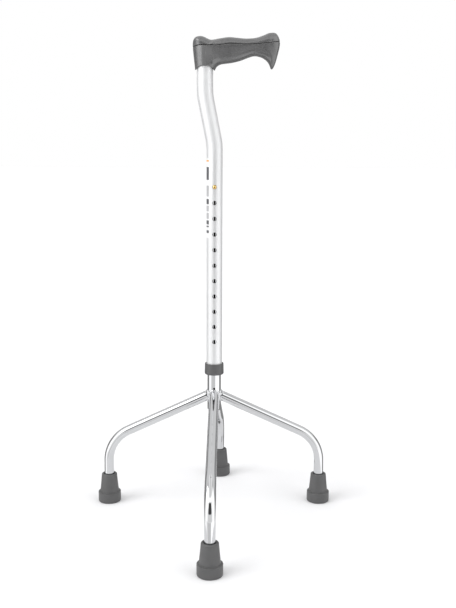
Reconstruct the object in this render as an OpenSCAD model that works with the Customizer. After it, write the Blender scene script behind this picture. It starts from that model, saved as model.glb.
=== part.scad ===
// Quad walking cane: a telescoping cane on a welded four-legged foot.
// Millimetres, +Z up, +X towards the grip's free end, -Y towards the long front leg.
// The origin is on the floor, at the centre of the base's outline.

/* [Height adjustment] */
// Distance between neighbouring height holes
hole_pitch = 25; // [22:0.5:28]
// Number of height holes, the snap button standing in the top one
hole_count = 11; // [5:1:11]
// Diameter of each height hole
hole_d = 7; // [6:0.1:7.5]
// Height of the lowest hole's centre at the shortest setting
lowest_hole_z = 276; // [270:1:290]

/* [Tubes] */
// Outside diameter of the upper tube
upper_d = 25.4; // [25:0.1:26]
// Outside diameter of the lower stem
stem_d = 22.2; // [21.8:0.1:22.4]
// Wall of the lower stem
stem_wall = 1.5; // [1:0.1:2]
// Sideways step of the swan neck
neck_offset = 15.4; // [8:0.2:20]
// Slope of the swan neck from vertical
neck_angle = 11.3; // [9:0.1:14]
// Centreline radius of the swan neck's two bends
neck_radius = 95; // [60:1:110]

/* [Legs] */
// Outside diameter of the leg tubes
leg_d = 15.9; // [14:0.1:16]
// Wall of the leg tubes
leg_wall = 1.5; // [1:0.1:2]
// Distance from the stem to the left and right feet
side_reach = 176; // [160:1:200]
// Distance from the stem to the front foot
front_reach = 266; // [240:1:280]
// Distance from the stem to the back foot
back_reach = 125; // [110:1:150]
// Angle by which the front leg turns towards -X
front_skew = 1; // [0:0.5:4]
// Angle by which the back leg turns towards +X
back_skew = 4.5; // [0:0.5:6]
// Height at which the leg centrelines cross the stem's axis
leg_root_z = 188.5; // [180:0.5:195]
// Height at which each leg becomes vertical
knee_z = 70; // [60:1:80]
// Centreline radius of the leg bends
knee_radius = 57; // [45:1:60]

/* [Feet] */
// Diameter of a ferrule's base ring
foot_d = 37.6; // [34:0.2:40]
// Height of a ferrule's base ring
foot_ring_h = 16.5; // [12:0.5:18]
// Height of a whole ferrule
foot_h = 46.5; // [42:0.5:50]
// Diameter of a ferrule's top
foot_top_d = 25.2; // [24:0.2:27]

/* [Collar] */
// Outside diameter of the collar at its lower edge
collar_d = 31.4; // [30:0.2:33]
// Height of the collar
collar_h = 19.6; // [16:0.2:24]
// Height of the collar's lower edge above the floor
collar_z = 220; // [212:1:228]

/* [Handle] */
// Height of the handle's socket rim above the end of the swan neck
rim_rise = 29; // [20:1:40]
// Widest part of the grip, across
grip_w = 35; // [32:1:38]

/* [Hidden] */

$fn = 64;
EPS = 0.01;
// Tubes are this much fatter in their bends, and the straight runs reach this far into them
bend_swell = 0.05;
lap = 0.5;

// Stem, snap button and their heights
stem_y = (front_reach - back_reach) / 2;
slide_gap = 0.08;
stem_r = stem_d / 2;
stem_bore_r = stem_r - stem_wall;
stem_bottom_z = leg_root_z - 27.5;
button_z = lowest_hole_z + (hole_count - 1) * hole_pitch;
stem_top_z = button_z + 40;
vent_d = 3.6;
vent_z = leg_root_z + 8.5;
button_r = hole_d / 2 - 0.2;
button_stand_out = 2.6;
button_dome_h = 1.9;

// Snap spring, a V of strip steel inside the stem
strip_t = 0.8;
strip_w = 7;
strip_y = stem_bore_r - 0.9;
spring_bend_r = 4;
spring_bend_z = button_z - 42;
spring_shoulder_z = button_z - 14;
spring_top_z = button_z + 10;
rivet_neck_r = 1.9;

// Upper tube
upper_r = upper_d / 2;
upper_bore_r = stem_r + slide_gap;
tube_bottom_z = collar_z + 7;
neck_z = stem_top_z + 17;
neck_bend_h = neck_radius * sin(neck_angle);
neck_bend_x = neck_radius * (1 - cos(neck_angle));
neck_run = (neck_offset - 2 * neck_bend_x) / sin(neck_angle);
neck_top_z = neck_z + 2 * neck_bend_h + neck_run * cos(neck_angle);
rim_z = neck_top_z + rim_rise;
tube_top_z = rim_z + 22;

// Legs: the compass direction and the reach of each, seen from the stem
leg_r = leg_d / 2;
leg_end_z = 16;
left_foot = [-side_reach, 0];
right_foot = [side_reach, 0];
front_foot = [-front_reach * tan(front_skew), -front_reach];
back_foot = [back_reach * tan(back_skew), back_reach];
feet = [left_foot, right_foot, front_foot, back_foot];
weld_t = 2;
weld_low = -18;
weld_high = 5.4;
weld_slope = 4;

// Ferrules and their washers
foot_r = foot_d / 2;
foot_top_r = foot_top_d / 2;
foot_cone_r = foot_r - 3.5;
foot_bore_r = leg_r + 0.05;
washer_t = 1.6;
tread_depth = 1.5;

// Handle, in its own frame: x from the tube's axis, z from the socket's rim
socket_r = upper_r + 2.9;
core_h = 34;
bore_gap = 0.05;
screw_r = 3;
screw_head_r = 5;
screw_head_h = 3.4;
recess_r = 7;
web_t = 4;
// Stations of the grip: x, underside, top and half width, for a grip grip_table_w wide
grip_table_w = 35;
grip = [[-19.3, 33, 33.4, 3], [-18.7, 27, 43, 9], [-15.4, 18, 47.4, 14], [-8, 9, 49.3, 17],
    [0, 8, 47.4, 17.4], [9.6, 7.6, 43.9, 16.2], [22, 7.8, 45.6, 15], [36.5, 8.8, 47.9, 15.4],
    [52, 12, 46.9, 16], [64, 16.4, 46, 16.4], [78, 19.9, 46.7, 16.8], [88, 17.6, 49.4, 17.2],
    [96, 12.4, 53, 17.5], [100.5, 6.6, 54.6, 17], [104.1, 1, 55.2, 15.6], [108, 7, 54.2, 13.6],
    [112, 20, 50.6, 10.5], [114.7, 34, 46, 6.5], [115.5, 41.8, 42.2, 3]];
// Points of the parting line between the handle's body and its cover: x, z
seam = [[-19.3, 33.2], [-8, 35.8], [1, 36.8], [17.8, 35.8], [41.5, 38.9], [58, 37.6], [85, 39.6],
    [105, 41.4], [115.5, 42]];
grip_steps = 2;
grip_sides = 12;
grip_power = 2.3;

// A smooth curve through rows of numbers, at row i and fraction t
function cubic(a, b, c, d, t) = ((3 * b - a - 3 * c + d) * pow(t, 3)
    + (2 * a - 5 * b + 4 * c - d) * pow(t, 2) + (c - a) * t + 2 * b) / 2;
function smooth_row(rows, i, t) = cubic(rows[max(i - 1, 0)], rows[i], rows[i + 1],
    rows[min(i + 2, len(rows) - 1)], t);
function seam_at(x) = lookup(x, seam);

// Stations of the grip with smooth ones added between them
stations = [for (i = [0 : len(grip) - 2], k = [0 : grip_steps - 1]) smooth_row(grip, i, k / grip_steps),
    grip[len(grip) - 1]];

// Outline point of station s at angle a: a flattened ellipse between underside and top
function bulge(v) = sign(v) * pow(abs(v), 2 / grip_power);
function station_point(s, a) = [s[0], s[3] * grip_w / grip_table_w * bulge(cos(a)),
    (s[1] + s[2]) / 2 + (s[2] - s[1]) / 2 * bulge(sin(a))];
// Angle at which the outline of station s crosses the parting line
function seam_angle(s) = let (v = (2 * seam_at(s[0]) - s[1] - s[2]) / (s[2] - s[1]))
    asin(sign(v) * pow(min(abs(v), 0.98), grip_power / 2));
function section(s, upper) = let (a = seam_angle(s), from = upper ? a : -180 - a,
    span = upper ? 180 - 2 * a : 180 + 2 * a)
    [for (k = [0 : grip_sides]) station_point(s, from + span * k / grip_sides)];

// Moves its children from the stem's axis to their place over the base
module on_axis() translate([0, stem_y, 0]) children();

// A round bar bent in the XZ plane: up, a bend towards -X, then a sloping run
module bent_bar(r, rise, bend_radius, bend_angle, run = 0) {
    cylinder(r = r, h = rise + lap);
    translate([-bend_radius, 0, rise]) {
        rotate([90, 0, 0]) rotate_extrude(angle = bend_angle)
            translate([bend_radius, 0]) circle(r + bend_swell);
        if (run > 0) rotate([0, -bend_angle, 0]) translate([bend_radius, 0, -lap])
            cylinder(r = r, h = run + lap);
    }
}

// The upper tube's centreline as a solid bar of radius r, from z = low to z = high
module neck_bar(r, low, high) {
    translate([0, 0, low]) bent_bar(r, neck_z - low, neck_radius, neck_angle, neck_run + lap);
    translate([-neck_offset, 0, high]) rotate([180, 0, 0]) mirror([1, 0, 0])
        bent_bar(r, high - neck_top_z, neck_radius, neck_angle);
}

// Slope, bend and run of a leg whose foot stands at a distance reach from the stem
function slope_to(reach) = let (dx = reach - knee_radius, dz = leg_root_z - knee_z)
    atan2(dz, dx) - asin(knee_radius / norm([dx, dz]));
function run_to(reach) = sqrt(pow(reach - knee_radius, 2) + pow(leg_root_z - knee_z, 2)
    - pow(knee_radius, 2));

module leg_bar(foot, r) {
    reach = norm(foot);
    rotate(atan2(foot[1], foot[0])) translate([reach, 0, leg_end_z])
        bent_bar(r, knee_z - leg_end_z, knee_radius, 90 - slope_to(reach), run_to(reach));
}

// Keeps a leg's root inside its own quarter around the stem
module quarter(foot) {
    far = front_reach + foot_d;
    side = abs(foot[0]) > abs(foot[1]) ? [sign(foot[0]), 0] : [0, sign(foot[1])];
    rotate(atan2(side[1], side[0])) linear_extrude(leg_root_z + stem_d)
        polygon([[0, 0], [far, -far], [far, far]]);
}

module leg(foot) color("gainsboro") on_axis() difference() {
    intersection() {
        leg_bar(foot, leg_r);
        quarter(foot);
    }
    leg_bar(foot, leg_r - leg_wall);
    translate([0, 0, stem_bottom_z]) cylinder(r = stem_r, h = stem_top_z - stem_bottom_z);
}

// Weld metal round the stem, filling in between and around the four legs
module weld_bead() color("silver") on_axis() difference() {
    translate([0, 0, leg_root_z]) rotate_extrude() polygon([[stem_r, weld_low],
        [stem_r + weld_t, weld_low + weld_slope], [stem_r + weld_t, weld_high - weld_slope],
        [stem_r, weld_high]]);
    for (foot = feet) leg_bar(foot, leg_r);
}

module stem_tube() color("gainsboro") on_axis() difference() {
    translate([0, 0, stem_bottom_z]) cylinder(r = stem_r, h = stem_top_z - stem_bottom_z);
    translate([0, 0, stem_bottom_z - 1]) cylinder(r = stem_bore_r, h = stem_top_z - stem_bottom_z + 2);
    translate([0, 0, vent_z]) rotate([90, 0, 0]) cylinder(d = vent_d, h = stem_d);
    translate([0, 0, button_z]) rotate([90, 0, 0]) cylinder(d = hole_d, h = stem_d);
}

// Plastic plug that closes the stem's lower end
module stem_end_plug() color("dimgray") on_axis() translate([0, 0, stem_bottom_z]) {
    translate([0, 0, -1.8]) cylinder(r1 = stem_r - 1.2, r2 = stem_r, h = 1.8);
    difference() {
        cylinder(r = stem_bore_r, h = 12);
        translate([0, 0, 2]) cylinder(r = stem_bore_r - 2, h = 11);
    }
}

// Guide bush pressed into the stem's upper end
module stem_top_bush() color("dimgray") on_axis() translate([0, 0, stem_top_z]) difference() {
    union() {
        translate([0, 0, -14]) cylinder(r = stem_bore_r, h = 14);
        cylinder(r1 = stem_r, r2 = stem_r - 1, h = 3);
    }
    translate([0, 0, -15]) cylinder(r = stem_bore_r - 2.2, h = 19);
}

// Two-dimensional half of the spring's V, on the side of +x
module spring_half() {
    polygon([[spring_bend_r - strip_t, spring_bend_z], [spring_bend_r, spring_bend_z],
        [strip_y, spring_shoulder_z], [strip_y, spring_top_z], [strip_y - strip_t, spring_top_z],
        [strip_y - strip_t, spring_shoulder_z]]);
    translate([0, spring_bend_z]) difference() {
        circle(spring_bend_r);
        circle(spring_bend_r - strip_t);
        translate([-spring_bend_r - 1, -spring_bend_r - 1])
            square([spring_bend_r + 1, 2 * spring_bend_r + 2]);
        translate([-1, 0]) square([spring_bend_r + 2, spring_bend_r + 1]);
    }
}

module snap_spring() color("slategray") on_axis() difference() {
    rotate([90, 0, 90]) linear_extrude(strip_w, center = true) {
        spring_half();
        mirror([1, 0]) spring_half();
    }
    translate([0, 0, button_z]) rotate([90, 0, 0]) cylinder(r = rivet_neck_r + 0.05, h = stem_r);
}

// Brass button riveted to the spring, standing out through the stem and the upper tube
module snap_button() color("goldenrod") on_axis() translate([0, 0, button_z]) rotate([90, 0, 0]) {
    tip_y = upper_r + button_stand_out;
    translate([0, 0, strip_y]) cylinder(r = button_r, h = tip_y - button_dome_h - strip_y);
    translate([0, 0, tip_y - button_dome_h])
        cylinder(r1 = button_r, r2 = button_r - 0.7, h = button_dome_h / 2);
    translate([0, 0, tip_y - button_dome_h / 2])
        cylinder(r1 = button_r - 0.7, r2 = button_r - 2, h = button_dome_h / 2);
    translate([0, 0, strip_y - strip_t]) cylinder(r = rivet_neck_r, h = strip_t);
    translate([0, 0, strip_y - strip_t - 0.8]) cylinder(r = rivet_neck_r + 1, h = 0.8);
}

module upper_tube() color("whitesmoke") on_axis() difference() {
    neck_bar(upper_r, tube_bottom_z, tube_top_z);
    neck_bar(upper_bore_r, tube_bottom_z - 1, tube_top_z + 1);
    for (i = [0 : hole_count - 1]) translate([0, 0, lowest_hole_z + i * hole_pitch])
        rotate([90, 0, 0]) cylinder(d = hole_d, h = upper_d);
}

// Collar pressed over the upper tube's lower end
module tube_collar() color("dimgray") on_axis() translate([0, 0, collar_z]) {
    top_r = collar_d / 2 - 0.4;
    rotate_extrude() polygon([[stem_r + 0.4, 0], [collar_d / 2 - 1.2, 0], [collar_d / 2 - 0.3, 0.4],
        [collar_d / 2, 1.4], [top_r, collar_h - 0.9], [top_r - 0.8, collar_h], [upper_r, collar_h],
        [upper_r, 1.6], [stem_r + 0.4, 1.6]]);
}

// Nylon bush held by the collar under the upper tube's end, sliding on the stem
module collar_bush() color("white") on_axis() translate([0, 0, collar_z + 1.6]) difference() {
    cylinder(r = upper_r, h = tube_bottom_z - collar_z - 1.6);
    translate([0, 0, -1]) cylinder(r = upper_bore_r, h = tube_bottom_z - collar_z + 1);
}

// Blank label wrapped round the upper tube's left side
module blank_label() color("white") on_axis() translate([0, 0, button_z - 81])
    rotate(162) rotate_extrude(angle = 78) translate([upper_r, 0]) square([0.15, 126]);

module ferrule(foot) color("dimgray") on_axis() translate(foot) difference() {
    rotate_extrude() polygon([[0, 0], [foot_r - 0.8, 0], [foot_r, 1], [foot_r - 0.2, foot_ring_h - 0.7],
        [foot_r - 0.8, foot_ring_h], [foot_cone_r + 0.8, foot_ring_h + 0.6], [foot_cone_r, foot_ring_h + 2],
        [foot_top_r + 0.2, foot_h - 2.6], [foot_top_r - 0.5, foot_h - 0.7], [foot_top_r - 1.6, foot_h],
        [0, foot_h]]);
    translate([0, 0, leg_end_z - washer_t]) cylinder(r = foot_bore_r, h = foot_h);
    translate([0, 0, foot_h - 1.6]) cylinder(r1 = foot_bore_r, r2 = foot_bore_r + 1.4, h = 1.6 + EPS);
    for (groove = [6, 11.5]) translate([0, 0, -EPS]) difference() {
        cylinder(r = groove + 2, h = tread_depth + EPS);
        translate([0, 0, -1]) cylinder(r = groove, h = tread_depth + 2);
    }
}

module foot_washer(foot) color("silver") on_axis() translate([foot[0], foot[1], leg_end_z - washer_t])
    difference() {
        cylinder(r = foot_bore_r, h = washer_t);
        translate([0, 0, -1]) cylinder(r = 2.5, h = washer_t + 2);
    }

// Closed loft through the grip's stations, above or below the parting line
module grip_half(upper) {
    rings = [for (s = stations) section(s, upper)];
    n = grip_sides + 1;
    last = len(rings) - 1;
    quads = [for (i = [0 : last - 1], k = [0 : n - 1]) [i * n + k, i * n + (k + 1) % n,
        (i + 1) * n + (k + 1) % n, (i + 1) * n + k]];
    polyhedron([for (ring = rings) each ring], concat(quads, [[for (k = [n - 1 : -1 : 0]) k]],
        [[for (k = [0 : n - 1]) last * n + k]]));
}

module in_handle() on_axis() translate([-neck_offset, 0, rim_z]) children();

// Outside of the rigid core, the socket that stands over the tube's end
module core_blank() cylinder(r1 = socket_r, r2 = socket_r - 1, h = core_h);

module handle_core() color("dimgray") in_handle() difference() {
    core_blank();
    translate([0, 0, -1]) cylinder(r = upper_r + bore_gap, h = tube_top_z - rim_z + 1);
    cylinder(r = screw_r + 0.2, h = core_h);
    translate([0, 0, tube_top_z - rim_z + web_t]) cylinder(r = recess_r, h = core_h);
}

// Lower part of the grip, moulded round the core
module handle_body() color("dimgray") in_handle() difference() {
    grip_half(false);
    core_blank();
    cylinder(r = recess_r, h = 2 * core_h);
}

module handle_cover() color("gray") in_handle() grip_half(true);

// Plastic plug pressed into the upper tube's top, which takes the handle screw
module tube_insert() color("dimgray") in_handle() translate([0, 0, tube_top_z - rim_z - 20]) difference() {
    cylinder(r = upper_bore_r, h = 20);
    cylinder(r = screw_r - 0.2, h = 21);
}

module handle_screw() color("silver") in_handle() translate([0, 0, tube_top_z - rim_z + web_t + 1]) {
    cylinder(r = screw_head_r, h = screw_head_h);
    translate([0, 0, -17]) cylinder(r = screw_r - 0.2, h = 17);
}

module screw_washer() color("silver") in_handle() translate([0, 0, tube_top_z - rim_z + web_t])
    difference() {
        cylinder(r = recess_r - 0.4, h = 1);
        translate([0, 0, -1]) cylinder(r = screw_r, h = 3);
    }

stem_tube();
stem_end_plug();
stem_top_bush();
snap_spring();
snap_button();
leg(left_foot);  // leg_left
leg(right_foot);  // leg_right
leg(front_foot);  // leg_front
leg(back_foot);  // leg_back
weld_bead();
ferrule(left_foot);  // ferrule_left
ferrule(right_foot);  // ferrule_right
ferrule(front_foot);  // ferrule_front
ferrule(back_foot);  // ferrule_back
foot_washer(left_foot);  // foot_washer_left
foot_washer(right_foot);  // foot_washer_right
foot_washer(front_foot);  // foot_washer_front
foot_washer(back_foot);  // foot_washer_back
upper_tube();
tube_collar();
collar_bush();
blank_label();
handle_core();
handle_body();
handle_cover();
tube_insert();
handle_screw();
screw_washer();
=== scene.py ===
"""Quad walking cane: the pieces, materials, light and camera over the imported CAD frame.

The frame is in metres, +Z up, +X towards the grip's free end and -Y towards the camera. The cane's shapes
are written in millimetres, as in the CAD, and turned into metres when a mesh is made. Materials, light and
stage are in metres.
"""

import math

import bpy
import numpy as np
from mathutils import Matrix, Vector


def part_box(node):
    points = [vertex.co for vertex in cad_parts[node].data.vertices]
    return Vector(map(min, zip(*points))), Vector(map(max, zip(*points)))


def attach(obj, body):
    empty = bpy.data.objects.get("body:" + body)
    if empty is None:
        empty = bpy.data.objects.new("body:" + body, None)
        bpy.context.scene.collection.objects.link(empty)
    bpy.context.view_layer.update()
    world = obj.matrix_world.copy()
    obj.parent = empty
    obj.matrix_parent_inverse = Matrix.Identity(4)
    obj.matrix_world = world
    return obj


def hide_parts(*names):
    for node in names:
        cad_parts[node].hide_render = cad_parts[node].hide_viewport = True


MM = 0.001

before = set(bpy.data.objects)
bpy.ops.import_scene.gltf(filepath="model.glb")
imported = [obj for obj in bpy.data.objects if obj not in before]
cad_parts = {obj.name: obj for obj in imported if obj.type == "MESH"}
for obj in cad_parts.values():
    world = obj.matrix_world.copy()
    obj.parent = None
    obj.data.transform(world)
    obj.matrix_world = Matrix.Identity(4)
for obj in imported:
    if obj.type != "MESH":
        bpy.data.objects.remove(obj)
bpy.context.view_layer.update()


def in_mm(point):
    """A point of the frame in millimetres, to a hundredth."""
    return [round(c / MM, 2) for c in point]


def lowest(node):
    return in_mm(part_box(node)[0])


def highest(node):
    return in_mm(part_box(node)[1])


def centre(node):
    low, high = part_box(node)
    return in_mm((low + high) / 2)


# Sizes that the CAD frame gives
STEM_Y = centre("upper_tube")[1]
STEM_R = highest("stem_tube")[0]
UPPER_R = highest("collar_bush")[0]
LEG_END_Z = lowest("leg_left")[2]
BUTTON_Z = centre("snap_button")[2]
BUTTON_R = highest("snap_button")[0]
COLLAR_Z = lowest("tube_collar")[2]
RIM_X = centre("tube_insert")[0]
RIM_Z = lowest("handle_core")[2]
SIDES = ("left", "right", "front", "back")
FEET = {side: (centre(f"ferrule_{side}")[0], centre(f"ferrule_{side}")[1] - STEM_Y) for side in SIDES}

# The legs: their tube, where their lines meet the stem's axis and where they start, the bend above each foot,
# how far past it the tube is pressed flat, and by how much
LEG_R = 7.95
LEG_ROOT_Z = 188.5
LEG_START = 7.6
KNEE_Z = 71
KNEE_RADIUS = 57
BEND_MARGIN = 14
BEND_THINNER = 0.035
BEND_WIDER = 0.055

# The weld beads: half their thickness, the share of it in a ripple, and the ripple's length in ring points
WELD_R = 1.55
RIPPLE = 0.07
RIPPLE_POINTS = 5


# ---------------------------------------------------------------- meshes


def add_piece(name, points, faces, material, body, cad_nodes=()):
    """Makes one smooth-shaded piece from points in millimetres and hangs it on its body."""
    mesh = bpy.data.meshes.new(name)
    in_metres = [tuple(MM * float(c) for c in p) for p in points]
    mesh.from_pydata(in_metres, [], [tuple(map(int, face)) for face in faces])
    mesh.validate()
    mesh.polygons.foreach_set("use_smooth", [True] * len(mesh.polygons))
    mesh.materials.append(material)
    piece = bpy.data.objects.new(name, mesh)
    bpy.context.scene.collection.objects.link(piece)
    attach(piece, body)
    if cad_nodes:
        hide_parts(*cad_nodes)
    return piece


def rounded(corners, steps=6):
    """Outline through corners (r, z, radius), each corner with a radius turned into an arc."""
    outline = []
    count = len(corners)
    for i, (r, z, radius) in enumerate(corners):
        corner = Vector((r, z))
        if not radius:
            outline.append(corner)
            continue
        before = (Vector(corners[i - 1][:2]) - corner).normalized()
        after = (Vector(corners[(i + 1) % count][:2]) - corner).normalized()
        half = before.angle(after) / 2
        centre = corner + (before + after).normalized() * radius / math.sin(half)
        start = corner + before * radius / math.tan(half) - centre
        turn = start.angle_signed(corner + after * radius / math.tan(half) - centre)
        for step in range(steps + 1):
            outline.append(centre + Matrix.Rotation(-turn * step / steps, 2) @ start)
    return outline


def lathe(outline, foot, segments=96, closed=True):
    """Points and faces of an outline (r, z) turned about a vertical axis that stands on the point foot."""
    points, faces = [], []
    rows = len(outline)
    for k in range(segments):
        a = 2 * math.pi * k / segments
        out = Vector((math.cos(a), math.sin(a), 0))
        points += [Vector(foot) + out * r + Vector((0, 0, z)) for r, z in outline]
    for k in range(segments):
        here, there = k * rows, (k + 1) % segments * rows
        for i in range(rows if closed else rows - 1):
            j = (i + 1) % rows
            faces.append((here + i, there + i, there + j, here + j))
    return points, faces


def sweep(path, side, radii, sides=48, closed=False):
    """Points and faces of a tube along path, which lies in the plane square to the unit vector side.

    radii gives at each point the radius in the plane and the radius along side."""
    points, faces = [], []
    count = len(path)
    for i, p in enumerate(path):
        ahead = path[(i + 1) % count] if closed or i + 1 < count else p
        behind = path[i - 1] if closed or i else p
        normal = side.cross((ahead - behind).normalized())
        across, along = radii[i]
        for k in range(sides):
            a = 2 * math.pi * k / sides
            points.append(p + normal * across * math.cos(a) + side * along * math.sin(a))
    for i in range(count if closed else count - 1):
        here, there = i * sides, (i + 1) % count * sides
        for k in range(sides):
            m = (k + 1) % sides
            faces.append((here + k, here + m, there + m, there + k))
    if not closed:
        faces.append(tuple(range(sides - 1, -1, -1)))
        faces.append(tuple(range((count - 1) * sides, count * sides)))
    return points, faces


def smooth_curve(knots, steps=24):
    """A function through (x, y) knots, smooth between them."""
    knots = [knots[0], *knots, knots[-1]]
    xs, ys = [], []
    for a, b, c, d in zip(knots, knots[1:], knots[2:], knots[3:]):
        for k in range(steps):
            t = k / steps
            blend = [
                (2 * b[n] + (c[n] - a[n]) * t + (2 * a[n] - 5 * b[n] + 4 * c[n] - d[n]) * t**2
                 + (3 * b[n] - a[n] - 3 * c[n] + d[n]) * t**3) / 2
                for n in range(2)
            ]
            xs.append(blend[0])
            ys.append(blend[1])
    xs.append(knots[-1][0])
    ys.append(knots[-1][1])
    return lambda x: np.interp(x, xs, ys)


def both(a, b, k):
    """Where two fields are both inside, with their edge rounded over about k."""
    h = np.maximum(k - np.abs(a - b), 0) / np.maximum(k, 1e-6)
    return np.maximum(a, b) + h * h * k / 4


def either(a, b, k):
    """Where one of two fields is inside, with a fillet of about k."""
    return -both(-a, -b, k)


def surface(field, low, high, step, probe=0.02, rounds=6, flattest=0.05):
    """Points and faces of the closed surface where field(x, y, z) is zero, between two corners.

    A grid of cells finds the surface. Each point then moves along the field's slope, measured over probe to
    each side, until it lies on the surface."""
    axes = [np.arange(a - 2 * step, b + 3 * step, step) for a, b in zip(low, high)]
    inside = field(*np.meshgrid(*axes, indexing="ij")) < 0
    cells = tuple(n - 1 for n in inside.shape)
    corners = sum(
        inside[i : i + cells[0], j : j + cells[1], k : k + cells[2]].astype(int)
        for i in (0, 1) for j in (0, 1) for k in (0, 1)
    )
    active = np.argwhere((corners > 0) & (corners < 8))
    number = np.full(cells, -1)
    number[tuple(active.T)] = np.arange(len(active))
    points = np.array([axes[n][0] for n in range(3)]) + (active + 0.5) * step
    shifts = probe * np.eye(3)
    for _ in range(rounds):
        here = field(*points.T)
        rises = [field(*(points + shift).T) - field(*(points - shift).T) for shift in shifts]
        slope = np.stack(rises, axis=1) / (2 * probe)
        move = slope * (here / np.maximum((slope**2).sum(axis=1), flattest))[:, None]
        points = points - np.clip(move, -step / 2, step / 2)
    faces = []
    for axis in range(3):
        first, second = [n for n in range(3) if n != axis]
        low_side = np.take(inside, range(cells[axis]), axis=axis)
        high_side = np.take(inside, range(1, cells[axis] + 1), axis=axis)
        edges = np.argwhere(low_side != high_side)
        quad = []
        for a, b in ((-1, -1), (0, -1), (0, 0), (-1, 0)):
            cell = edges.copy()
            cell[:, first] += a
            cell[:, second] += b
            quad.append(number[tuple(cell.T)])
        quad = np.stack(quad, axis=1)
        flip = low_side[tuple(edges.T)] == (axis == 1)
        quad[flip] = quad[flip][:, ::-1]
        faces.append(quad)
    return points, np.concatenate(faces)


# ------------------------------------------------------------- materials


def new_material(name, colour, roughness, metallic=0.0):
    """A principled material and its nodes, links and shader."""
    material = bpy.data.materials.new(name)
    material.use_nodes = True
    tree = material.node_tree
    shader = tree.nodes["Principled BSDF"]
    shader.inputs["Base Color"].default_value = (*colour, 1)
    shader.inputs["Roughness"].default_value = roughness
    shader.inputs["Metallic"].default_value = metallic
    return material, tree, shader


def noise(tree, scale, stretch=(1, 1, 1), detail=4):
    """Noise over the object's own coordinates in metres."""
    place = tree.nodes.new("ShaderNodeTexCoord")
    mapping = tree.nodes.new("ShaderNodeMapping")
    mapping.inputs["Scale"].default_value = stretch
    texture = tree.nodes.new("ShaderNodeTexNoise")
    texture.inputs["Scale"].default_value = scale
    texture.inputs["Detail"].default_value = detail
    tree.links.new(place.outputs["Object"], mapping.inputs["Vector"])
    tree.links.new(mapping.outputs["Vector"], texture.inputs["Vector"])
    return texture.outputs["Fac"]


def vary(tree, source, low, high, socket):
    """Drives a shader number from a noise, between low and high."""
    spread = tree.nodes.new("ShaderNodeMapRange")
    spread.inputs["From Min"].default_value = 0.3
    spread.inputs["From Max"].default_value = 0.7
    spread.inputs["To Min"].default_value = low
    spread.inputs["To Max"].default_value = high
    tree.links.new(source, spread.inputs["Value"])
    tree.links.new(spread.outputs["Result"], socket)


def tint(tree, source, dark, light, socket):
    """Drives a shader colour from a noise, between two colours."""
    ramp = tree.nodes.new("ShaderNodeValToRGB")
    ramp.color_ramp.elements[0].position = 0.3
    ramp.color_ramp.elements[0].color = (*dark, 1)
    ramp.color_ramp.elements[1].position = 0.7
    ramp.color_ramp.elements[1].color = (*light, 1)
    tree.links.new(source, ramp.inputs["Fac"])
    tree.links.new(ramp.outputs["Color"], socket)


def bump(tree, shader, source, distance, strength=1.0):
    """Adds a fine relief, distance in metres."""
    relief = tree.nodes.new("ShaderNodeBump")
    relief.inputs["Distance"].default_value = distance
    relief.inputs["Strength"].default_value = strength
    tree.links.new(source, relief.inputs["Height"])
    tree.links.new(relief.outputs["Normal"], shader.inputs["Normal"])


def calculate(tree, operation, *values):
    """A math node's result; a value is a number or another node's output."""
    node = tree.nodes.new("ShaderNodeMath")
    node.operation = operation
    for socket, value in zip(node.inputs, values):
        if isinstance(value, (int, float)):
            socket.default_value = value
        else:
            tree.links.new(value, socket)
    return node.outputs["Value"]


def fade(tree, source, start, end, low=0.0, high=1.0):
    """Goes smoothly from low to high while source goes from start to end."""
    node = tree.nodes.new("ShaderNodeMapRange")
    node.interpolation_type = "SMOOTHSTEP"
    for name, value in (("From Min", start), ("From Max", end), ("To Min", low), ("To Max", high)):
        node.inputs[name].default_value = value
    tree.links.new(source, node.inputs["Value"])
    return node.outputs["Result"]


def product(tree, *values):
    """All the values multiplied together."""
    result = values[0]
    for value in values[1:]:
        result = calculate(tree, "MULTIPLY", result, value)
    return result


def between(tree, source, start, full, ebb, end):
    """Rises from 0 at start to 1 at full, and falls from 1 at ebb to 0 at end."""
    return product(tree, fade(tree, source, start, full), fade(tree, source, end, ebb))


def length(tree, a, b):
    """The length of the flat vector (a, b)."""
    squares = calculate(tree, "ADD", product(tree, a, a), product(tree, b, b))
    return calculate(tree, "SQRT", squares)


def grey(value):
    """A grey that is a little cool."""
    return (value, value, value * 1.01)


def chrome(name):
    material, tree, shader = new_material(name, (0.62, 0.625, 0.635), 0.04, metallic=1.0)
    vary(tree, noise(tree, 60), 0.02, 0.06, shader.inputs["Roughness"])
    tint(tree, noise(tree, 25), (0.6, 0.605, 0.615), (0.64, 0.645, 0.655), shader.inputs["Base Color"])
    bump(tree, shader, noise(tree, 90, detail=1), 0.00002)
    return material, tree, shader


def satin_aluminium():
    material, tree, shader = new_material("satin_aluminium", (0.76, 0.765, 0.77), 0.54, metallic=0.64)
    vary(tree, noise(tree, 120, (1, 1, 0.1)), 0.5, 0.58, shader.inputs["Roughness"])
    streaks = noise(tree, 40, (1, 1, 0.2))
    tint(tree, streaks, (0.74, 0.745, 0.75), (0.78, 0.785, 0.79), shader.inputs["Base Color"])
    bump(tree, shader, noise(tree, 1500, (1, 1, 0.03), 2), 0.000004)
    return material, tree, shader


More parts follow.
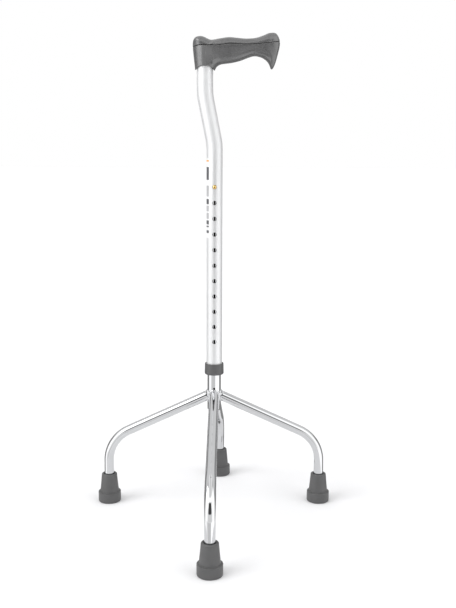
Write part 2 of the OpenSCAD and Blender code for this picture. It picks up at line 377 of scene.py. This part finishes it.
def painted_shade_bore(look, radius, top):
    """The same look, but with painted shade: near black below top and nearer than radius to the stem's axis
    (metres), where the bore's inside lies in shade.
    """
    material, tree, shader = look
    outside = shader.inputs["Base Color"].links[0].from_socket
    place = tree.nodes.new("ShaderNodeTexCoord")
    axes = tree.nodes.new("ShaderNodeSeparateXYZ")
    tree.links.new(place.outputs["Object"], axes.inputs["Vector"])
    aside = calculate(tree, "SUBTRACT", axes.outputs["Y"], STEM_Y * MM)
    from_axis = length(tree, aside, axes.outputs["X"])
    near = calculate(tree, "LESS_THAN", from_axis, radius)
    bore = product(tree, near, calculate(tree, "LESS_THAN", axes.outputs["Z"], top))
    mix = tree.nodes.new("ShaderNodeMix")
    mix.data_type = "RGBA"
    tree.links.new(bore, mix.inputs["Factor"])
    tree.links.new(outside, mix.inputs["A"])
    # Painted shade: the bore's inside is coloured near black, standing in for the shade that falls there
    mix.inputs["B"].default_value = (0.015, 0.015, 0.015, 1)
    tree.links.new(mix.outputs["Result"], shader.inputs["Base Color"])
    return material


def moulded(name, value, roughness, grain=1400, depth=0.00002, gloss=0.45):
    """Grey moulded plastic or rubber with a fine grain."""
    material, tree, shader = new_material(name, grey(value), roughness)
    tint(tree, noise(tree, 55), grey(value * 0.93), grey(value * 1.07), shader.inputs["Base Color"])
    vary(tree, noise(tree, 140), roughness - 0.05, roughness + 0.06, shader.inputs["Roughness"])
    bump(tree, shader, noise(tree, grain, detail=2), depth)
    shader.inputs["Specular IOR Level"].default_value = gloss
    return material


def brass():
    material, tree, shader = new_material("brass", (0.72, 0.5, 0.2), 0.2, metallic=1.0)
    vary(tree, noise(tree, 900), 0.14, 0.3, shader.inputs["Roughness"])
    tint(tree, noise(tree, 500), (0.66, 0.44, 0.16), (0.78, 0.56, 0.24), shader.inputs["Base Color"])
    bump(tree, shader, noise(tree, 2500), 0.000004)
    return material


def bright_steel(name, value, roughness):
    """Plain or plated steel of the hidden hardware."""
    material, tree, shader = new_material(name, grey(value), roughness, metallic=1.0)
    vary(tree, noise(tree, 700), roughness - 0.06, roughness + 0.08, shader.inputs["Roughness"])
    tint(tree, noise(tree, 300), grey(value * 0.9), grey(value * 1.08), shader.inputs["Base Color"])
    bump(tree, shader, noise(tree, 1800), 0.000006)
    return material


def printed_label():
    """White film with a few plain bars up its length and no lettering."""
    material, tree, shader = new_material("printed_label", (0.9, 0.9, 0.9), 0.4)
    film = (0.85, 0.85, 0.85, 1)
    amber = (0.8, 0.35, 0.05, 1)
    dark = (0.1, 0.1, 0.11, 1)
    pale = (0.45, 0.45, 0.46, 1)
    # Each bar's start and end as shares of the label's height
    bars = [(0.06, 0.095, dark), (0.135, 0.155, dark), (0.17, 0.22, dark), (0.24, 0.32, pale),
            (0.335, 0.41, pale), (0.425, 0.49, dark), (0.52, 0.66, pale), (0.73, 0.89, dark),
            (0.955, 0.975, amber)]
    bar_side = 0.6
    place = tree.nodes.new("ShaderNodeTexCoord")
    axes = tree.nodes.new("ShaderNodeSeparateXYZ")
    tree.links.new(place.outputs["Generated"], axes.inputs["Vector"])
    column = tree.nodes.new("ShaderNodeValToRGB")
    column.color_ramp.interpolation = "CONSTANT"
    marks = column.color_ramp.elements
    marks.remove(marks[1])
    marks[0].color = film
    for start, end, colour in bars:
        marks.new(start).color = colour
        marks.new(end).color = film
    tree.links.new(axes.outputs["Z"], column.inputs["Fac"])
    margin = tree.nodes.new("ShaderNodeMix")
    margin.data_type = "RGBA"
    tree.links.new(calculate(tree, "GREATER_THAN", axes.outputs["X"], bar_side), margin.inputs["Factor"])
    tree.links.new(column.outputs["Color"], margin.inputs["A"])
    margin.inputs["B"].default_value = film
    tree.links.new(margin.outputs["Result"], shader.inputs["Base Color"])
    bump(tree, shader, noise(tree, 1200), 0.000003)
    return material


# How far inside a tube's outer surface the painted shade of its bore begins, and the height below which it
# may:
# over the stem's top, and at the top of the upper tube's straight part
STEM_SKIN = 0.4
UPPER_SKIN = 0.25
STEM_PAINTED_SHADE_TOP = 0.6
UPPER_PAINTED_SHADE_TOP = 0.55

CHROME = chrome("chrome")[0]
# The stem's chrome and the satin aluminium get painted shade, near black, inside their bores
STEM_CHROME_WITH_PAINTED_SHADE = painted_shade_bore(chrome("stem_chrome_painted_shade_bore"), (STEM_R - STEM_SKIN) * MM, STEM_PAINTED_SHADE_TOP)
ALUMINIUM_WITH_PAINTED_SHADE = painted_shade_bore(satin_aluminium(), (UPPER_R - UPPER_SKIN) * MM, UPPER_PAINTED_SHADE_TOP)
GRIP = moulded("grip_plastic", 0.088, 0.24, gloss=1.05)
COVER = moulded("grip_cover_plastic", 0.096, 0.24, gloss=1.05)
COLLAR = moulded("collar_plastic", 0.092, 0.4)
RUBBER = moulded("ferrule_rubber", 0.09, 0.45, grain=900, depth=0.00005)
BLACK = moulded("black_plastic", 0.03, 0.45)
NYLON = moulded("white_nylon", 0.7, 0.4)
BRASS = brass()
SPRING = bright_steel("spring_steel", 0.45, 0.3)
ZINC = bright_steel("zinc_plated_steel", 0.6, 0.3)
LABEL = printed_label()

CAD_LOOKS = {
    "stem_tube": STEM_CHROME_WITH_PAINTED_SHADE,
    "stem_end_plug": BLACK,
    "stem_top_bush": BLACK,
    "snap_spring": SPRING,
    **{f"foot_washer_{side}": ZINC for side in SIDES},
    "upper_tube": ALUMINIUM_WITH_PAINTED_SHADE,
    "collar_bush": NYLON,
    "blank_label": LABEL,
    "tube_insert": BLACK,
    "handle_screw": ZINC,
    "screw_washer": ZINC,
}


# ------------------------------------------------------------------ base


def leg_path(foot):
    """Centreline of a leg from inside the stem to its end, with the share of bend at each point."""
    reach = math.hypot(*foot)
    run, drop = reach - KNEE_RADIUS, LEG_ROOT_Z - KNEE_Z
    slope = math.atan2(drop, run) - math.asin(KNEE_RADIUS / math.hypot(run, drop))
    bend = math.pi / 2 - slope
    turns = np.linspace(bend, 0, 30)
    arc = [(run + KNEE_RADIUS * math.cos(a), KNEE_Z + KNEE_RADIUS * math.sin(a)) for a in turns]
    start = (LEG_START, LEG_ROOT_Z - LEG_START * math.tan(slope))
    straight = [tuple(a + (b - a) * t for a, b in zip(start, arc[0])) for t in np.linspace(0, 1, 25)[:-1]]
    end = [(reach, KNEE_Z + (LEG_END_Z - KNEE_Z) * t) for t in np.linspace(0, 1, 12)[1:]]
    way = straight + arc + end
    out = Vector((foot[0] / reach, foot[1] / reach, 0))
    path = [out * s + Vector((0, STEM_Y, z)) for s, z in way]
    middle = arc[len(arc) // 2]
    bend_reach = KNEE_RADIUS * bend / 2 + BEND_MARGIN
    bends = [max(0.0, 1 - (math.dist(p, middle) / bend_reach) ** 2) for p in way]
    return path, out, slope, bends


def make_leg(side, foot):
    """One leg, its tube pressed a little flat where it bends. Gives the directions that its weld needs."""
    path, out, slope, bends = leg_path(foot)
    across = out.cross(Vector((0, 0, 1)))
    radii = [(LEG_R * (1 - BEND_THINNER * b), LEG_R * (1 + BEND_WIDER * b)) for b in bends]
    points, faces = sweep(path, across, radii, sides=64)
    add_piece(f"leg_tube_{side}", points, faces, CHROME, "base", [f"leg_{side}"])
    return out, slope, across


def make_weld(out, slope, across, sides=14):
    """Weld bead where a leg's tube meets the stem, with the welder's ripples."""
    root = Vector((0, STEM_Y, LEG_ROOT_Z))
    along = out * math.cos(slope) - Vector((0, 0, math.sin(slope)))
    over = across.cross(along)
    ring = []
    for a in np.linspace(0, 2 * math.pi, 120, endpoint=False):
        spot = across * LEG_R * math.cos(a) + over * LEG_R * math.sin(a)
        b, c = spot.x * along.x + spot.y * along.y, spot.x**2 + spot.y**2 - STEM_R**2
        square = along.x**2 + along.y**2
        ring.append(root + spot + along * ((-b + math.sqrt(b * b - square * c)) / square))
    points, faces = [], []
    for i, p in enumerate(ring):
        forward = (ring[(i + 1) % len(ring)] - ring[i - 1]).normalized()
        away = (p - root - along * (p - root).dot(along)).normalized()
        up = forward.cross(away)
        radius = WELD_R * (1 + RIPPLE * math.sin(2 * math.pi * i / RIPPLE_POINTS))
        for k in range(sides):
            a = 2 * math.pi * k / sides
            points.append(p + away * radius * math.cos(a) + up * radius * math.sin(a))
    for i in range(len(ring)):
        here, there = i * sides, (i + 1) % len(ring) * sides
        for k in range(sides):
            m = (k + 1) % sides
            faces.append((here + k, here + m, there + m, there + k))
    return points, faces


def make_base():
    """The four legs, and their weld beads as one piece."""
    weld_points, weld_faces = [], []
    for side, foot in FEET.items():
        out, slope, across = make_leg(side, foot)
        points, faces = make_weld(out, slope, across)
        start = len(weld_points)
        weld_points += points
        weld_faces += [tuple(start + k for k in face) for face in faces]
    add_piece("leg_weld_beads", weld_points, weld_faces, CHROME, "base", ["weld_bead"])


def make_ferrule(side, foot):
    """Rubber boot: two grooves in its sole, a base ring, a cone and a rolled lip round the leg."""
    outer = [(0.001, 0, 0), (4.6, 0, 0.3), (5.1, 1.5, 0.3), (7.2, 1.5, 0.3), (7.7, 0, 0.3), (10.3, 0, 0.3),
             (10.8, 1.5, 0.3), (12.9, 1.5, 0.3), (13.4, 0, 0.3), (18.5, 0, 1.3), (18.75, 3.0, 0.6),
             (18.6, 16.5, 0.5), (15.5, 16.9, 0.5), (12.65, 46.9, 1.2), (11.2, 48, 0.7), (9.0, 47.7, 0.5),
             (8.15, 46.2, 0.4), (8.05, 15.2, 0), (0.001, 15.2, 0)]
    points, faces = lathe(rounded(outer), (foot[0], foot[1] + STEM_Y, 0), closed=False)
    add_piece(f"ferrule_boot_{side}", points, faces, RUBBER, "base", [f"ferrule_{side}"])


# ----------------------------------------------------------- upper tube


def make_collar():
    """Collar with a recess inside its top edge and a lip that closes on the stem."""
    outline = [(11.25, 0, 0.4), (14.9, 0, 1.2), (15.7, 2.2, 0.8), (15.3, 18.0, 0.5), (14.6, 18.4, 0.3),
               (12.75, 16.6, 0.2), (12.72, 1.7, 0), (11.25, 1.7, 0.2)]
    points, faces = lathe(rounded(outline), (0, STEM_Y, COLLAR_Z))
    add_piece("tube_collar_shell", points, faces, COLLAR, "upper", ["tube_collar"])


def make_button():
    """Domed snap button with a narrow neck and a foot inside the stem, turned about -Y."""
    tip, neck = UPPER_R + 2.6, STEM_R - 2.4
    outline = [(0.001, tip, 0), (1.2, tip - 0.1, 0.5), (2.5, tip - 0.9, 0.8), (BUTTON_R, tip - 2.2, 0.8),
               (BUTTON_R, neck + 0.8, 0), (1.9, neck + 0.8, 0), (1.9, neck - 0.9, 0), (2.9, neck - 0.9, 0.2),
               (2.9, neck - 1.6, 0.3), (0.001, neck - 1.6, 0)]
    points, faces = lathe(rounded(outline), (0, 0, 0), segments=64, closed=False)
    turned = [(x, STEM_Y - z, BUTTON_Z + y) for x, y, z in points]
    add_piece("snap_button_head", turned, faces, BRASS, "button", ["snap_button"])


# ---------------------------------------------------------------- handle

# The grip's curves: x from the upper tube's axis there, z from the rim of its socket
GRIP_TOP = smooth_curve([
    (-21, 36), (-19, 40), (-17.6, 44), (-14, 47.8), (-7.6, 49.3), (-2, 48.4), (9.6, 43.8), (22, 45.8),
    (36.8, 47.9), (50, 47), (64, 45.9), (78, 46.9), (90, 50.6), (98, 54), (104.3, 54.95), (107.5, 54.8),
    (110.8, 53.6), (114.8, 48), (117, 42),
])
GRIP_UNDER = smooth_curve([
    (-25, 9), (0, 7.6), (20, 7.2), (32.2, 8.3), (44.2, 10), (56, 13.1), (69, 18), (78, 19.9), (87.4, 18),
    (93.9, 14.4), (98.3, 10), (101, 4.9), (102.4, 1.2), (104, -0.1), (106, -0.3), (120, -0.3),
])
GRIP_HALF_WIDTH = smooth_curve([
    (-25, 18), (0, 17.6), (20, 17), (40, 16), (60, 15.5), (80, 15.8), (95, 16), (104, 15.4), (110, 13.8),
    (114, 11.6), (118, 9),
])
GRIP_END = smooth_curve([
    (-3, 105.6), (1, 106.6), (4.9, 107.9), (12.3, 110.5), (24.8, 113.8), (34.3, 115.9), (43, 116.4),
    (49, 115.2), (53, 112.4), (58, 106),
])
SEAM = smooth_curve([
    (-21, 32), (-18, 32.6), (-14, 33.7), (-9.3, 34.5), (-0.6, 35.2), (8.1, 34.6), (16.8, 34.1), (23.3, 35.2),
    (36.3, 37.1), (45, 37.1), (61.3, 36.2), (77.6, 36.8), (93.9, 38.3), (110.2, 40.4), (118, 41),
])

# How square the bar's cross-section is (2 is an ellipse), and its taper towards the hooked end's point
GRIP_POWER = 2.7
HOOK_TAPER = 0.28
HOOK_START = 84
HOOK_RUN = 16
HOOK_TOP = 26

# The socket: its radius at the rim, its flare per millimetre up to its top, and the curve of its rim
SOCKET_R = 15.45
SOCKET_FLARE = 0.105
SOCKET_TOP = 33
RIM_LOW = -0.6
RIM_ARCH = 4.0
RIM_REACH = 14

# How far the end bulges at its middle against END_HALF_WIDTH aside, how round the end's, the flare's and the
# rim's edges are, and the fillet between bar and socket, growing from the back to FILLET_RUN in front
END_BULGE = 2.2
END_HALF_WIDTH = 15
END_EDGE = 3
FLARE_EDGE = 2.5
RIM_EDGE = 1
BACK_FILLET = 0.4
FILLET_GROWTH = 12
FILLET_RUN = 12

# The parting line: half the gap between the shells, and how round their edges are
SEAM_GAP = 0.32
SEAM_EDGE = 1.1

# The space inside the lower shell: the tube's bore and its depth, then the screw's hole and its recess
BORE_PLAY = 0.06
BORE_TOP = 22
SCREW_HOLE_R = 3.2
RECESS_R = 7
RECESS_FLOOR = 26


def grip_field(x, y, z):
    """Outside of the whole handle, bore and parting line left out: negative inside."""
    top, under, width = GRIP_TOP(x), GRIP_UNDER(x), GRIP_HALF_WIDTH(x)
    towards_hook = np.clip((x - HOOK_START) / HOOK_RUN, 0, 1)
    towards_point = np.clip((HOOK_TOP - z) / HOOK_TOP, 0, 1) ** 1.5
    width = width * (1 - HOOK_TAPER * towards_hook * towards_point)
    middle, half = (top + under) / 2, np.maximum((top - under) / 2, 0.5)
    ring = (np.abs(y / width) ** GRIP_POWER + np.abs((z - middle) / half) ** GRIP_POWER) ** (1 / GRIP_POWER)
    bar = (ring - 1) * np.minimum(width, half)
    bar = both(bar, x - GRIP_END(z) + END_BULGE * (y / END_HALF_WIDTH) ** 2, END_EDGE)
    flare = np.sqrt(x * x + y * y) - (SOCKET_R + SOCKET_FLARE * np.minimum(z, SOCKET_TOP))
    bar = both(bar, np.where(x < 0, flare, flare - x), FLARE_EDGE)
    rim = RIM_LOW + RIM_ARCH * (1 - (x / RIM_REACH) ** 4)
    socket = both(both(flare, rim - z, RIM_EDGE), z - SOCKET_TOP - 1, RIM_EDGE)
    return either(bar, socket, BACK_FILLET + FILLET_GROWTH * np.clip(x / FILLET_RUN, 0, 1))


def body_field(x, y, z):
    """The lower shell: the handle below the parting line, without its bore and the screw's recess."""
    around = np.sqrt(x * x + y * y)
    bore = np.maximum(around - UPPER_R - BORE_PLAY, z - BORE_TOP)
    recess = np.minimum(np.maximum(around - RECESS_R, RECESS_FLOOR - z), around - SCREW_HOLE_R)
    solid = both(grip_field(x, y, z), z - SEAM(x) + SEAM_GAP, SEAM_EDGE)
    return np.maximum(np.maximum(solid, -bore), -recess)


def cover_field(x, y, z):
    """The upper shell: the handle above the parting line."""
    return both(grip_field(x, y, z), SEAM(x) + SEAM_GAP - z, SEAM_EDGE)


def make_handle():
    """Both grip shells. The lower one stands for the core too, which it hides."""
    place = np.array([RIM_X, STEM_Y, RIM_Z])
    low, high, step = (-20, -18.5, -2), (116.5, 18.5, 56.5), 0.62
    points, faces = surface(body_field, low, high, step)
    add_piece("grip_body", points + place, faces, GRIP, "upper", ["handle_body", "handle_core"])
    points, faces = surface(cover_field, low, high, step)
    add_piece("grip_cover", points + place, faces, COVER, "upper", ["handle_cover"])


# ------------------------------------------------------- stage and light

FLOOR = 0.88
FLOOR_Z = -0.0002
FLOOR_NEAR = 0.3
FLOOR_FAR = 40

# The dark card in front of the tube: its distance from the axis, its points' directions from -Y in degrees,
# and its lowest and highest points
CARD_DISTANCE = 0.15
CARD_TURNS = range(-14, 19, 4)
CARD_HEIGHTS = (0.225, 0.595)

# The two dark flags in front of the grip: their distance from the axis, their ends in x, and their heights
FLAG_DISTANCE = 0.137
FLAGS = {"grip_flag_left": (0.027, 0.043), "grip_flag_right": (0.067, 0.092)}
FLAG_HEIGHTS = (0.63, 0.82)

# The lit panel to the left: its two ends in x and y, and its heights
WINDOW_ENDS = ((-0.62, -0.08), (-0.36, -0.46))
WINDOW_HEIGHTS = (0.58, 0.86)

# Brightness of the studio by direction, and of its lamps
SOFTBOX = 1.7
FRONT_HALO = 1.15
FRONT_FLOOR = 0.85
FRONT_ROOM = 1.0
FIGURE = 0.08
CEILING = 1.15
CEILING_EDGE = 0.62
CEILING_SLIT = 0.85
BACK_ROOM = 0.32
BACK_WALL = 0.9
SUN = 0.8
SUN_FROM = (-0.75, -0.35, 0.8)
SUN_SPREAD = 35
WINDOW = 2.3


def add_stage(name, points, faces, material):
    """A piece of the studio, which isn't part of the object."""
    mesh = bpy.data.meshes.new(name)
    mesh.from_pydata(points, [], faces)
    mesh.materials.append(material)
    thing = bpy.data.objects.new(name, mesh)
    bpy.context.scene.collection.objects.link(thing)
    return thing


def upright(name, line, heights, material):
    """A card that stands on a line of (x, y) points between two heights. Only reflections see it."""
    count = len(line)
    points = [(x, y, z) for z in heights for x, y in line]
    faces = [(k, k + 1, k + count + 1, k + count) for k in range(count - 1)]
    card = add_stage(name, points, faces, material)
    card.visible_camera = False
    card.visible_diffuse = False
    card.visible_shadow = False


def one_sided_black(name, value):
    """A matt black that shows only on a card's back, and is clear from its front."""
    material, tree, shader = new_material(name, grey(value), 0.9)
    shader.inputs["Specular IOR Level"].default_value = 0.0
    clear = tree.nodes.new("ShaderNodeBsdfTransparent")
    face = tree.nodes.new("ShaderNodeNewGeometry")
    mix = tree.nodes.new("ShaderNodeMixShader")
    tree.links.new(face.outputs["Backfacing"], mix.inputs["Fac"])
    tree.links.new(clear.outputs["BSDF"], mix.inputs[1])
    tree.links.new(shader.outputs["BSDF"], mix.inputs[2])
    tree.links.new(mix.outputs["Shader"], tree.nodes["Material Output"].inputs["Surface"])
    return material


def make_floor(corners=96):
    """A plain pale floor, of which reflections see only the disc under the cane."""
    pale, tree, shader = new_material("pale_floor", grey(FLOOR), 0.9)
    tint(tree, noise(tree, 3), grey(FLOOR * 0.99), grey(FLOOR * 1.01), shader.inputs["Base Color"])
    shader.inputs["Specular IOR Level"].default_value = 0.0
    around = [2 * math.pi * k / corners for k in range(corners)]
    rim = [(FLOOR_NEAR * math.cos(a), FLOOR_NEAR * math.sin(a), FLOOR_Z) for a in around]
    edge = [(FLOOR_FAR * math.cos(a), FLOOR_FAR * math.sin(a), FLOOR_Z) for a in around]
    add_stage("floor", rim, [tuple(range(corners))], pale)
    ring = []
    for k in range(corners):
        m = (k + 1) % corners
        ring.append((k, corners + k, corners + m, m))
    beyond = add_stage("floor_beyond", rim + edge, ring, pale)
    beyond.visible_glossy = False


def make_cards():
    """Dark cards for the dark bands on the tube and the grip, and a lit panel for the grip's bright one."""
    axis_y = STEM_Y * MM
    black = one_sided_black("black_card", 0.01)
    turns = [math.radians(turn) for turn in CARD_TURNS]
    bow = [(CARD_DISTANCE * math.sin(a), axis_y - CARD_DISTANCE * math.cos(a)) for a in turns]
    upright("dark_card", bow, CARD_HEIGHTS, black)
    for name, ends in FLAGS.items():
        upright(name, [(x, axis_y - FLAG_DISTANCE) for x in ends], FLAG_HEIGHTS, black)
    glow, _, shader = new_material("window_panel", grey(0.8), 0.9)
    shader.inputs["Emission Color"].default_value = (1, 1, 1, 1)
    shader.inputs["Emission Strength"].default_value = WINDOW
    upright("window_panel", WINDOW_ENDS, WINDOW_HEIGHTS, glow)


def studio_light(tree):
    """Strength of the studio's light by direction: a softbox at each side, dimmer in front and behind."""
    place = tree.nodes.new("ShaderNodeTexCoord")
    axes = tree.nodes.new("ShaderNodeSeparateXYZ")
    tree.links.new(place.outputs["Generated"], axes.inputs["Vector"])
    x, y, z = (axes.outputs[name] for name in "XYZ")
    level = calculate(tree, "MAXIMUM", length(tree, x, y), 0.001)
    side = calculate(tree, "DIVIDE", x, level)
    depth = calculate(tree, "DIVIDE", y, level)
    across = calculate(tree, "ABSOLUTE", x)

    front = fade(tree, y, 0.05, -0.1)
    low = fade(tree, z, -0.1, -0.2)
    halo = between(tree, side, -0.95, -0.8, 0.28, 0.42)
    core = between(tree, side, -0.75, -0.55, 0.28, 0.42)
    ahead = between(tree, side, -0.8, -0.5, 0.5, 0.8)
    level_band = between(tree, z, -0.2, -0.1, 0.3, 0.5)
    figure = between(tree, side, -0.55, -0.4, 0.4, 0.55)
    figure_height = between(tree, z, 0.16, 0.22, 0.6, 0.68)
    behind = fade(tree, depth, -0.05, 0.2)
    wall = fade(tree, z, 0.25, 0.45)
    overhead = fade(tree, z, 0.76, 0.86)
    ceiling = fade(tree, across, 0.55, 0.35)
    slit = fade(tree, across, 0.14, 0.06)

    # Each layer covers its share of what is under it
    light = SOFTBOX
    for share, value in (
        (product(tree, halo, low, front), FRONT_HALO),
        (product(tree, core, low, front), FRONT_FLOOR),
        (product(tree, ahead, level_band, front), FRONT_ROOM),
        (product(tree, figure, figure_height, front), FIGURE),
        (behind, BACK_ROOM),
        (product(tree, behind, wall), BACK_WALL),
        (overhead, CEILING_EDGE),
        (product(tree, overhead, ceiling), CEILING),
        (product(tree, overhead, slit), CEILING_SLIT),
    ):
        kept = product(tree, calculate(tree, "SUBTRACT", 1.0, share), light)
        light = calculate(tree, "ADD", kept, product(tree, share, value))
    return light


def make_light():
    """The studio's light on the object, plain white where the camera looks past it, and one soft lamp."""
    world = bpy.data.worlds.new("studio")
    world.use_nodes = True
    tree = world.node_tree
    path = tree.nodes.new("ShaderNodeLightPath")
    seen = tree.nodes.new("ShaderNodeMix")
    seen.data_type = "FLOAT"
    tree.links.new(path.outputs["Is Camera Ray"], seen.inputs["Factor"])
    tree.links.new(studio_light(tree), seen.inputs["A"])
    seen.inputs["B"].default_value = 1.0
    tree.links.new(seen.outputs["Result"], tree.nodes["Background"].inputs["Strength"])
    tree.nodes["Background"].inputs["Color"].default_value = (1, 1, 1, 1)
    bpy.context.scene.world = world
    sun = bpy.data.lights.new("window_light", "SUN")
    sun.energy = SUN
    sun.angle = math.radians(SUN_SPREAD)
    lamp = bpy.data.objects.new("window_light", sun)
    lamp.rotation_euler = Vector(SUN_FROM).to_track_quat("Z", "Y").to_euler()
    bpy.context.scene.collection.objects.link(lamp)


# The photograph's view: where the camera is, how far it looks down, to the right, and leans
EYE = (0.00473, -1.32054, 0.5742)
LENS = 51.25
LOOK_DOWN = 0.1691
LOOK_RIGHT = 0.0126
LEAN = 0.0048


def make_camera():
    """The photograph's view, through a lens a little longer than normal."""
    camera = bpy.data.cameras.new("camera")
    camera.sensor_width = 36
    camera.lens = LENS
    camera.clip_start = 0.05
    eye = bpy.data.objects.new("camera", camera)
    turn = Matrix.Rotation(-LOOK_RIGHT, 4, "Z")
    tilt = Matrix.Rotation(math.pi / 2 - LOOK_DOWN, 4, "X")
    eye.matrix_world = Matrix.Translation(EYE) @ turn @ tilt @ Matrix.Rotation(LEAN, 4, "Z")
    bpy.context.scene.collection.objects.link(eye)
    bpy.context.scene.camera = eye


for node, look in CAD_LOOKS.items():
    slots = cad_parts[node].data.materials
    slots.clear()
    slots.append(look)

make_base()
for side, foot in FEET.items():
    make_ferrule(side, foot)
make_collar()
make_button()
make_handle()
make_floor()
make_cards()
make_light()
make_camera()

bpy.context.scene.view_settings.view_transform = "Standard"
